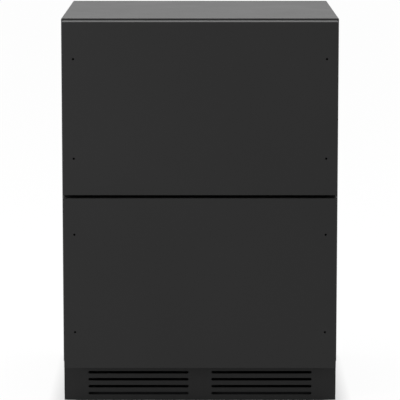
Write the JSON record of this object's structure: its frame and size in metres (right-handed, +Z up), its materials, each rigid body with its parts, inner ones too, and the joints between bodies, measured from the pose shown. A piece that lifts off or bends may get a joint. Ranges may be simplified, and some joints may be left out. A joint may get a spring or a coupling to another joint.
{
  "type": "undercounter drawer refrigerator",
  "caption": "Panel-ready undercounter refrigerator with stacked insulated drawers on ball-bearing slides, a steel cabinet and a slotted, recessed kick grille.",
  "frame": {"origin": "centre of the cabinet's footprint at floor level", "axes": "+Z up, drawer fronts face -Y, +X to the right of a person who faces the drawers"},
  "size_m": [0.606, 0.6, 0.857],
  "materials": {
    "black_steel": "satin",
    "zinc_steel": "satin",
    "screw_steel": "satin",
    "slide_steel": "satin",
    "bin_steel": "satin",
    "cage_steel": "satin",
    "foam": "matte",
    "grey_liner": "satin",
    "white_duct": "satin",
    "black_plastic": "matte",
    "dark_glass": "gloss",
    "lamp_diffuser": "satin",
    "gasket_rubber": "matte",
    "grommet_rubber": "matte",
    "compressor_black": "satin",
    "condenser_black": "matte",
    "coil_aluminium": "satin",
    "copper": "satin",
    "clear_divider": "gloss",
    "leg_steel": "satin"
  },
  "bodies": {
    "cabinet": {"cabinet_wrapper": "black_steel", "rear_panel": "zinc_steel", "base_pan": "black_steel", "machine_deck": "zinc_steel", "foam_insulation": "foam", "inner_liner": "grey_liner", "breaker_frame": "black_plastic", "centre_mullion": "black_plastic", "face_rails": "black_steel", "kick_grille": "black_steel", "machine_cover": "zinc_steel", "cover_screws": "screw_steel", "compressor": "compressor_black", "compressor_grommets": "grommet_rubber", "compressor_relay_box": "black_plastic", "condenser": "condenser_black", "condenser_fan_shroud": "black_plastic", "condenser_fan_motor": "black_plastic", "drain_pan": "black_plastic", "drain_tube": "white_duct", "refrigerant_lines": "copper", "evaporator": "coil_aluminium", "evaporator_cover": "white_duct", "evaporator_fan_motor": "black_plastic", "control_housing": "black_plastic", "control_glass": "dark_glass", "lamp_strips": "lamp_diffuser", "cord_gland": "black_plastic", "upper_slide_rails": "slide_steel", "lower_slide_rails": "slide_steel"},
    "upper_drawer": {"upper_slide_runners": "slide_steel", "upper_front_skin": "black_steel", "upper_front_foam": "foam", "upper_front_liner": "grey_liner", "upper_gasket": "gasket_rubber", "upper_bin_rails": "slide_steel", "upper_bin": "bin_steel", "upper_rail_screws": "screw_steel"},
    "lower_drawer": {"lower_slide_runners": "slide_steel", "lower_front_skin": "black_steel", "lower_front_foam": "foam", "lower_front_liner": "grey_liner", "lower_gasket": "gasket_rubber", "lower_bin_rails": "slide_steel", "lower_bin": "bin_steel", "lower_rail_screws": "screw_steel"},
    "upper_mids": {"upper_slide_mids": "slide_steel"},
    "lower_mids": {"lower_slide_mids": "slide_steel"},
    "upper_outer_cage": {"upper_outer_cages": "cage_steel"},
    "lower_outer_cage": {"lower_outer_cages": "cage_steel"},
    "upper_inner_cage": {"upper_inner_cages": "cage_steel"},
    "lower_inner_cage": {"lower_inner_cages": "cage_steel"},
    "upper_bin_divider": {"upper_divider": "clear_divider"},
    "lower_bin_divider": {"lower_divider": "clear_divider"},
    "condenser_fan_wheel": {"condenser_fan": "black_plastic"},
    "evaporator_fan_wheel": {"evaporator_fan": "black_plastic"},
    "front_left_foot": {"front_left_leg": "leg_steel"},
    "front_right_foot": {"front_right_leg": "leg_steel"},
    "rear_left_foot": {"rear_left_leg": "leg_steel"},
    "rear_right_foot": {"rear_right_leg": "leg_steel"}
  },
  "joints": [
    {"name": "upper_drawer_slide", "type": "slide", "parent": "cabinet", "child": "upper_drawer", "axis": [0, -1, 0], "range_m": [0, 0.404]},
    {"name": "upper_mids_slide", "type": "slide", "parent": "cabinet", "child": "upper_mids", "axis": [0, -1, 0], "range_m": [0, 0.203]},
    {"name": "upper_outer_cage_slide", "type": "slide", "parent": "cabinet", "child": "upper_outer_cage", "axis": [0, -1, 0], "range_m": [0, 0.102]},
    {"name": "upper_inner_cage_slide", "type": "slide", "parent": "cabinet", "child": "upper_inner_cage", "axis": [0, -1, 0], "range_m": [0, 0.304]},
    {"name": "lower_drawer_slide", "type": "slide", "parent": "cabinet", "child": "lower_drawer", "axis": [0, -1, 0], "range_m": [0, 0.404]},
    {"name": "lower_mids_slide", "type": "slide", "parent": "cabinet", "child": "lower_mids", "axis": [0, -1, 0], "range_m": [0, 0.203]},
    {"name": "lower_outer_cage_slide", "type": "slide", "parent": "cabinet", "child": "lower_outer_cage", "axis": [0, -1, 0], "range_m": [0, 0.102]},
    {"name": "lower_inner_cage_slide", "type": "slide", "parent": "cabinet", "child": "lower_inner_cage", "axis": [0, -1, 0], "range_m": [0, 0.304]},
    {"name": "upper_divider_slide", "type": "slide", "parent": "upper_drawer", "child": "upper_bin_divider", "axis": [0, 1, 0], "range_m": [-0.15, 0.15]},
    {"name": "lower_divider_slide", "type": "slide", "parent": "lower_drawer", "child": "lower_bin_divider", "axis": [0, 1, 0], "range_m": [-0.1, 0.1]},
    {"name": "condenser_fan_spin", "type": "hinge", "parent": "cabinet", "child": "condenser_fan_wheel", "pos_m": [0.15, 0.206, 0.128], "axis": [0, 1, 0], "continuous": true},
    {"name": "evaporator_fan_spin", "type": "hinge", "parent": "cabinet", "child": "evaporator_fan_wheel", "pos_m": [0, 0.221, 0.716], "axis": [0, 1, 0], "continuous": true},
    {"name": "front_left_leg_screw", "type": "slide", "parent": "cabinet", "child": "front_left_foot", "axis": [0, 0, -1], "range_m": [0, 0.025]},
    {"name": "front_right_leg_screw", "type": "slide", "parent": "cabinet", "child": "front_right_foot", "axis": [0, 0, -1], "range_m": [0, 0.025]},
    {"name": "rear_left_leg_screw", "type": "slide", "parent": "cabinet", "child": "rear_left_foot", "axis": [0, 0, -1], "range_m": [0, 0.025]},
    {"name": "rear_right_leg_screw", "type": "slide", "parent": "cabinet", "child": "rear_right_foot", "axis": [0, 0, -1], "range_m": [0, 0.025]}
  ],
  "couplings": [
    {"joint": "upper_mids_slide", "follows": "upper_drawer_slide", "ratio": 0.5},
    {"joint": "upper_outer_cage_slide", "follows": "upper_drawer_slide", "ratio": 0.25},
    {"joint": "upper_inner_cage_slide", "follows": "upper_drawer_slide", "ratio": 0.75},
    {"joint": "lower_mids_slide", "follows": "lower_drawer_slide", "ratio": 0.5},
    {"joint": "lower_outer_cage_slide", "follows": "lower_drawer_slide", "ratio": 0.25},
    {"joint": "lower_inner_cage_slide", "follows": "lower_drawer_slide", "ratio": 0.75}
  ]
}
